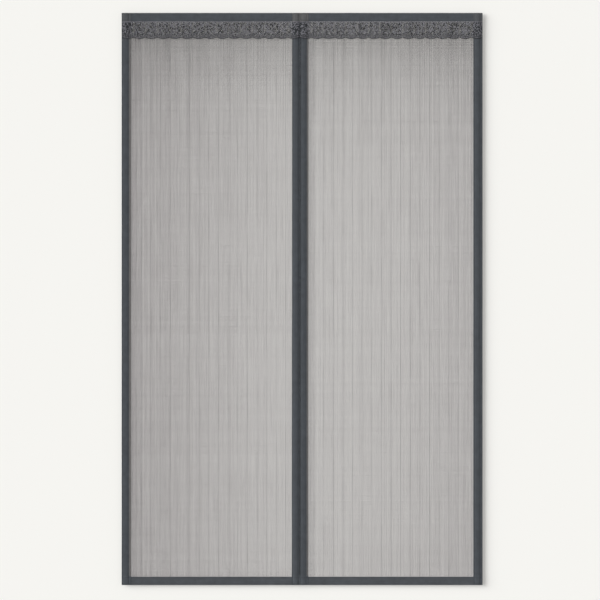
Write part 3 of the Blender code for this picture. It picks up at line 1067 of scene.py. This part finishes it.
def flower(bm, middle, petals, grown, turn, rng):
    """Open flower of raised petals round a heart."""
    length, wide = PETAL_LENGTH * grown, PETAL_WIDTHS[petals] * grown
    for number in range(petals):
        angle = turn + math.tau * number / petals
        reach = PETAL_START + length / 2
        place = (middle[0] + reach * math.cos(angle), middle[1] + reach * math.sin(angle))
        plate(bm, place, angle, (length, wide), 0.6 * MM, 7, 1, petal=rng.randrange(1, PETAL_NUMBERS))
    plate(bm, middle, 0.0, (HEART, HEART), 0.8 * MM, 6, 1, petal=rng.randrange(1, PETAL_NUMBERS))


def scatter_flowers(bm, pitch, rng):
    """Small flowers in staggered rows over one scallop, with two leaves beside each."""
    for row in range(FLOWER_ROWS):
        for column in range(FLOWER_COLUMNS):
            stagger = 0.27 if row % 2 else 0.73
            x = pitch * (column + stagger) / FLOWER_COLUMNS + rng.uniform(-FLOWER_SCATTER, FLOWER_SCATTER)
            z = FIRST_FLOWER - FLOWER_PITCH * row + rng.uniform(-FLOWER_SCATTER, FLOWER_SCATTER)
            x = min(max(x, FLOWER_EDGE), pitch - FLOWER_EDGE)
            turn = rng.uniform(0, math.tau)
            flower(bm, (x, z), rng.choice((5, 5, 6)), rng.uniform(0.88, 1.08), turn, rng)
            for way in (-1, 1):
                place = (x + (7.0 + rng.uniform(-0.6, 0.6)) * MM, z + way * 5.2 * MM)
                if place[0] < pitch - 2.4 * MM:
                    angle = rng.uniform(0.5, 1.3) * way
                    plate(bm, place, angle, LEAF, 0.5 * MM, 6, 0, petal=rng.randrange(1, PETAL_NUMBERS))


def border_row(bm, pitch, count, above_edge, size, height, angles, tones, taper=PETAL_TAPER):
    """A row of plates along the scalloped edge, which take the angles in degrees and the tones in turn."""
    for number in range(count):
        x = pitch * (number + 0.5) / count
        place = (x, scallop_edge(pitch, x) + above_edge)
        angle = math.radians(angles[number % len(angles)])
        plate(bm, place, angle, size, height, 6, tones[number % len(tones)], taper)


def lace_unit(pitch):
    """One scallop of the lace: heading, small flowers and leaves, border bars, cords and picots."""
    bm = bmesh.new()
    bm.faces.layers.int.new("petal")
    for height, width in HEADING_CORDS:
        cord(bm, [(0, height * MM), (pitch, height * MM)], width * MM, 0.6 * MM, 1)
    scatter_flowers(bm, pitch, random.Random(LACE_SEED))
    border_row(bm, pitch, FAN_LEAVES, 11.6 * MM, FAN_LEAF, 0.55 * MM, (122, 58), (0, 1))
    for inset, width, height in BORDER_CORDS:
        places = [pitch * step / 12 for step in range(13)]
        points = [(x, scallop_edge(pitch, min(x, pitch * 0.9999)) + inset * MM) for x in places]
        cord(bm, points, width * MM, height * MM, 0)
    border_row(bm, pitch, BARS, 4.8 * MM, BAR, 0.5 * MM, (90,), (1, 0), taper=0.8)
    border_row(bm, pitch, PICOTS, -0.5 * MM, PICOT, 0.7 * MM, (0,), (0,), taper=0.7)
    return bm


def finish_petals(bm, count):
    """Make most petals and leaves satin, whose paler colour is partly a painted sheen, and some matt,
    different in each scallop.
    """
    petals = bm.faces.layers.int["petal"]
    unit = len(bm.faces) // count
    for index, face in enumerate(bm.faces):
        if face[petals]:
            draw = random.Random(face[petals] * count + index // unit).random()
            face.material_index = 1 if draw < SATIN_SHARE else 0
    bm.faces.layers.int.remove(petals)


def lace_net(width, pitch):
    """Fine diagonal net behind the flowers, ending at the scalloped edge."""
    bm = bmesh.new()
    top = -0.5 * MM
    step = NET_PITCH * math.sqrt(2)
    reach = SCALLOP_DEPTH - LACE_VALLEY
    for way in (1, -1):
        for number in range(int((width + reach) / step)):
            start = end = (number + 0.5) * step - (reach if way > 0 else 0.0)
            for _ in range(8):
                low = scallop_edge(pitch, min(max(end, 0.0), width)) + 0.8 * MM
                end = start + way * (top - low)
            x0, x1 = (min(max(x, NET_INSET), width - NET_INSET) for x in (start, end))
            z0, z1 = (top - way * (x - start) for x in (x0, x1))
            length = math.hypot(x1 - x0, z1 - z0)
            if length < NET_SHORTEST:
                continue
            depth = -NET_DEPTH / 2 - (0.04 * MM if way > 0 else 0.0)
            place = (
                Matrix.Translation(((x0 + x1) / 2, depth, (z0 + z1) / 2))
                @ Matrix.Rotation(-math.atan2(z1 - z0, x1 - x0), 4, "Y")
                @ Matrix.Diagonal((length, NET_DEPTH, NET_THREAD, 1))
            )
            bmesh.ops.create_cube(bm, size=1.0, matrix=place)
    return bm


def lace_depth(panel, x, z):
    """Depth of the lace's back: over the crowned tapes, and lower over the mesh between them."""
    over_mesh = MESH_FRONT - LACE_OVER_MESH
    depths = [over_mesh]
    for tape in [tape for tape in TAPES if tape.panel == panel]:
        across = tape.inward * (x - tape.edge_x - sideways(tape, z))
        held = min(max(across, SMOOTH_FOLD), tape.width - 1 * MM)
        over_tape = front_depth(tape, held, z) - LACE_OVER_TAPE
        share = smooth((across - tape.width) / LACE_DROP)
        depths.append(over_tape + (over_mesh - over_tape) * share)
    return min(depths)


def make_lace(panel, materials):
    """Scalloped lace across the top of a panel, lying over the mesh and both side bindings."""
    low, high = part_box(f"{panel}_lace_trim")
    width = high.x - low.x
    count = SCALLOPS[panel]
    pitch = width / count
    bm = lace_unit(pitch)
    repeat(bm, count, Vector((pitch, 0, 0)))
    finish_petals(bm, count)
    merge(bm, lace_net(width, pitch))
    for vert in bm.verts:
        place = vert.co * LACE_WOBBLES
        slide, lift = (LACE_WOBBLE * noise.noise(Vector((place.x, place.z, row))) for row in (1.5, 7.5))
        edge = min(vert.co.x, width - vert.co.x)
        vert.co += Vector((slide * smooth(edge / SMOOTH_FOLD), 0, lift))
    bmesh.ops.translate(bm, verts=bm.verts[:], vec=(low.x, 0, LACE_TOP))
    for tape in [tape for tape in TAPES if tape.panel == panel]:
        cuts = [tape.width * step / 7 for step in range(1, 8)]
        cuts += [tape.width + LACE_DROP * step / 3 for step in (1, 2, 3)]
        for cut in cuts:
            geom = bm.verts[:] + bm.edges[:] + bm.faces[:]
            middle = (tape.edge_x + tape.inward * cut, 0, 0)
            bmesh.ops.bisect_plane(bm, geom=geom, dist=1e-7, plane_co=middle, plane_no=RIGHT)
    for vert in bm.verts:
        x, z = vert.co.x, vert.co.z
        curled = smooth((LACE_TOP - z - CURL_START) / CURL_LENGTH) * (0.6 + 0.8 * wander(7, x, 0.04))
        vert.co.y += lace_depth(panel, x, z) - LACE_CURL * curled
    return add_piece(f"{panel}_lace", bm, materials, [f"{panel}_lace_trim"])


def loop_material():
    """Fuzzy loop pile."""
    material, tree, shader = new_material("loop_tape")
    place = object_coordinates(tree)
    paint(tree, shader, (0.060, 0.064, 0.070), dyed(tree, place, 420.0, 0.5))
    pile = texture(tree, "Voronoi", place, 1500.0)
    roughen(tree, shader, pile, 0.1, 0.86)
    bump(tree, shader, pile, 0.35 * MM)
    set_plain(shader, specular=0.15, sheen=0.2)
    return material


def hook_material():
    """Moulded hook tape with a smooth adhesive film on its back face."""
    material, tree, shader = new_material("hook_tape")
    place = object_coordinates(tree)
    rows = tree.nodes.new("ShaderNodeCombineXYZ")
    for target, axis in enumerate((0, 2)):
        link(tree, axes(tree, place)[axis], rows.inputs[target])
    hooks = woven(tree, rows.outputs[0], 1.1 * MM)
    normal = tree.nodes.new("ShaderNodeNewGeometry").outputs["Normal"]
    film = math_node(tree, "GREATER_THAN", axes(tree, normal)[1], 0.7)
    base = mix_colours(tree, film, (0.045, 0.047, 0.050), (0.115, 0.112, 0.104))
    paint(tree, shader, base, dyed(tree, place, 35.0, 0.25))
    roughen(tree, shader, film, -0.35, 0.65)
    relief = math_node(tree, "MULTIPLY", hooks, math_node(tree, "SUBTRACT", 1.0, film))
    bump(tree, shader, relief, 0.4 * MM)
    return material


def magnet_material():
    """Flexible magnet rubber, brown black with fine dust."""
    material, tree, shader = new_material("magnet_rubber")
    dust = dyed(tree, object_coordinates(tree), 160.0, 0.3)
    paint(tree, shader, (0.035, 0.030, 0.028), dust)
    roughen(tree, shader, dust, 0.68, 0.0)
    bump(tree, shader, dust, 0.05 * MM)
    return material


def steel_material():
    """Plain rolled steel strip with fine lines along it."""
    material, tree, shader = new_material("steel")
    drawn = mapped(tree, object_coordinates(tree), scale=(20.0, 400.0, 2500.0))
    lines = dyed(tree, drawn, 1.0, 0.25)
    paint(tree, shader, (0.48, 0.48, 0.49), lines)
    roughen(tree, shader, lines, 0.36, 0.0)
    set_plain(shader, metallic=1.0)
    return material


def seen_share(tree):
    """1 for rays that show a background: straight from the camera, mirrored or through glass."""
    rays = tree.nodes.new("ShaderNodeLightPath").outputs
    straight = math_node(tree, "MAXIMUM", rays["Is Camera Ray"], rays["Is Glossy Ray"])
    return math_node(tree, "MAXIMUM", straight, rays["Is Transmission Ray"])


def mix_shaders(tree, share, first, second):
    """Mix two shaders by a share."""
    node = tree.nodes.new("ShaderNodeMixShader")
    for socket, source in zip(node.inputs, (share, first, second)):
        link(tree, source, socket)
    return node.outputs[0]


def backdrop_material(colour, glow):
    """Pale matt surface, partly self-lit for the camera, that isn't there from behind."""
    material, tree, shader = new_material("backdrop")
    tree.nodes.remove(shader)
    matt, lit = (tree.nodes.new(f"ShaderNode{kind}") for kind in ("BsdfDiffuse", "Emission"))
    for node in (matt, lit):
        node.inputs["Color"].default_value = (*colour, 1.0)
    clear = tree.nodes.new("ShaderNodeBsdfTransparent").outputs[0]
    glowing = math_node(tree, "MULTIPLY", seen_share(tree), glow)
    shown = mix_shaders(tree, glowing, matt.outputs[0], lit.outputs[0])
    behind = tree.nodes.new("ShaderNodeNewGeometry").outputs["Backfacing"]
    sides = mix_shaders(tree, behind, shown, clear)
    link(tree, sides, tree.nodes["Material Output"].inputs["Surface"])
    return material


def make_backdrop(name, place, material):
    """Large flat backdrop that lights nothing and casts nothing."""
    bm = bmesh.new()
    bmesh.ops.create_grid(bm, x_segments=1, y_segments=1, size=1.0, matrix=place)
    mesh = bpy.data.meshes.new(name)
    bm.to_mesh(mesh)
    bm.free()
    mesh.materials.append(material)
    sheet = bpy.data.objects.new(name, mesh)
    bpy.context.scene.collection.objects.link(sheet)
    sheet.visible_diffuse = False
    sheet.visible_shadow = False


def make_sun(name, way, strength, angle):
    """Distant lamp that shines one way; a wider angle in degrees gives softer shadows."""
    light = bpy.data.lights.new(name, "SUN")
    light.energy = strength
    light.angle = math.radians(angle)
    lamp = bpy.data.objects.new(name, light)
    lamp.rotation_euler = way.to_track_quat("-Z", "Y").to_euler()
    bpy.context.scene.collection.objects.link(lamp)


class StageOperator(bpy.types.Operator):
    """Make the pale wall and floor, the studio light and the camera"""

    bl_idname = "screen.make_stage"
    bl_label = "Stage"

    def execute(self, context):
        scene = context.scene
        scene.view_settings.view_transform = "Standard"
        colour = tuple(scene.insect_screen.backdrop_colour)
        upright = Matrix.Rotation(math.pi / 2, 4, "X")
        wall = Matrix.Translation((0, WALL_Y, FLOOR_Z + 3)) @ upright @ Matrix.Diagonal((5, 3, 1, 1))
        make_backdrop("wall", wall, backdrop_material(colour, BACKDROP_GLOW))
        # A brighter self-lit sheet just in front of the wall behind the mesh: painted light that weakens
        # the shadows the tapes cast there
        width, height = CAD_BOX[1].x - CAD_BOX[0].x, TOP - BOTTOM
        sizes = ((width - MESH_WALL_INSET) / 2, (height - MESH_WALL_INSET) / 2, 1, 1)
        behind = Matrix.Translation((0, WALL_Y - MESH_WALL_STEP, MIDDLE_Z)) @ upright
        behind = behind @ Matrix.Diagonal(sizes)
        make_backdrop("wall_behind_mesh", behind, backdrop_material(colour, PAINTED_LIGHT_BEHIND_MESH))
        floor = Matrix.Translation((0, WALL_Y - 4, FLOOR_Z)) @ Matrix.Diagonal((5, 4, 1, 1))
        make_backdrop("floor", floor, backdrop_material(colour, FLOOR_GLOW))

        scene.world = bpy.data.worlds.new("studio")
        scene.world.use_nodes = True
        tree = scene.world.node_tree
        level = 1 - KEY_SHARE
        shown = mix_colours(tree, seen_share(tree), (level, level, level), colour)
        link(tree, shown, tree.nodes["Background"].inputs["Color"])
        make_sun("key", KEY_WAY, KEY_SHARE * math.pi / KEY_WAY.y, KEY_ANGLE)
        make_sun("back_fill", FILL_WAY, FILL_STRENGTH, FILL_ANGLE)

        camera = bpy.data.cameras.new("camera")
        camera.sensor_width = SENSOR
        camera.lens = SENSOR * VIEW_DISTANCE / VIEW_HEIGHT
        view = bpy.data.objects.new("camera", camera)
        view.location = (VIEW_X, FRONT_Y - VIEW_DISTANCE, VIEW_Z)
        view.rotation_euler = (math.pi / 2, 0, 0)
        scene.collection.objects.link(view)
        scene.camera = view
        return {"FINISHED"}


class TapeOperator(bpy.types.Operator):
    """Make the folded tapes round the edges of both panels"""

    bl_idname = "screen.make_tapes"
    bl_label = "Binding tapes"

    def execute(self, context):
        material = tape_material(context.scene.insect_screen)
        for tape in TAPES:
            make_side_binding(tape, material)
        for panel in PANELS:
            for name in ("top", "bottom"):
                make_hem_binding(panel, name, material)
        return {"FINISHED"}


class StitchOperator(bpy.types.Operator):
    """Make the seams of the tapes and hems"""

    bl_idname = "screen.make_stitching"
    bl_label = "Stitching"

    def execute(self, context):
        material = yarn_material("sewing_thread", context.scene.insect_screen.thread_colour)
        for panel in PANELS:
            make_stitching(panel, material)
        return {"FINISHED"}


class ClothOperator(bpy.types.Operator):
    """Make the woven mesh of both panels"""

    bl_idname = "screen.make_mesh_cloth"
    bl_label = "Mesh cloth"

    def execute(self, context):
        settings = context.scene.insect_screen
        # The mesh yarn gets painted shade towards the top
        yarn = yarn_material("mesh_yarn", settings.mesh_colour, amount=0.9, painted_top_shade=0.75)
        stripe = yarn_material("stripe_yarn", [STRIPE_TONE * share for share in settings.mesh_colour])
        for panel in PANELS:
            piece = make_mesh_cloth(panel, settings, [yarn, stripe])
        return {"FINISHED"}


class LaceOperator(bpy.types.Operator):
    """Make the scalloped lace across the top of both panels"""

    bl_idname = "screen.make_lace"
    bl_label = "Lace trim"

    def execute(self, context):
        settings = context.scene.insect_screen
        net = lace_material("lace_net", settings.lace_colour, 0.35, 1.1 * MM)
        # The satin's paler colour is partly a painted sheen
        satin = lace_material("lace_satin", settings.motif_colour, 0.45, 0.8 * MM)
        for panel in PANELS:
            piece = make_lace(panel, [net, satin])
        return {"FINISHED"}


class FixingOperator(bpy.types.Operator):
    """Finish the hook and loop tapes, the magnet strips and the hem weights"""

    bl_idname = "screen.finish_fixings"
    bl_label = "Fixings"

    def execute(self, context):
        finishes = {
            "loop_tape": loop_material(),
            "hook_tape": hook_material(),
            "magnet_strip": magnet_material(),
            "hem_weight": steel_material(),
        }
        for name, node in frame["nodes"].items():
            for ending, material in finishes.items():
                if name.endswith(ending):
                    node.material_slots[0].material = material
        return {"FINISHED"}


class ScreenPanel(bpy.types.Panel):
    """Build steps and settings of the insect screen"""

    bl_idname = "SCREEN_PT_insect_screen"
    bl_label = "Insect Screen"
    bl_space_type = "VIEW_3D"
    bl_region_type = "UI"
    bl_category = "Insect Screen"

    def draw(self, context):
        column = self.layout.column()
        for name in ScreenSettings.__annotations__:
            column.prop(context.scene.insect_screen, name)
        for operator in OPERATORS:
            column.operator(operator.bl_idname)


OPERATORS = (StageOperator, TapeOperator, StitchOperator, ClothOperator, LaceOperator, FixingOperator)
CLASSES = (ScreenSettings, *OPERATORS, ScreenPanel)


def register():
    for item in CLASSES:
        bpy.utils.register_class(item)
    bpy.types.Scene.insect_screen = PointerProperty(type=ScreenSettings)


def unregister():
    del bpy.types.Scene.insect_screen
    for item in reversed(CLASSES):
        bpy.utils.unregister_class(item)


def main():
    register()
    bpy.ops.screen.make_stage()
    bpy.ops.screen.make_tapes()
    bpy.ops.screen.make_stitching()
    bpy.ops.screen.make_mesh_cloth()
    bpy.ops.screen.make_lace()
    bpy.ops.screen.finish_fixings()


if __name__ == "__main__":
    main()
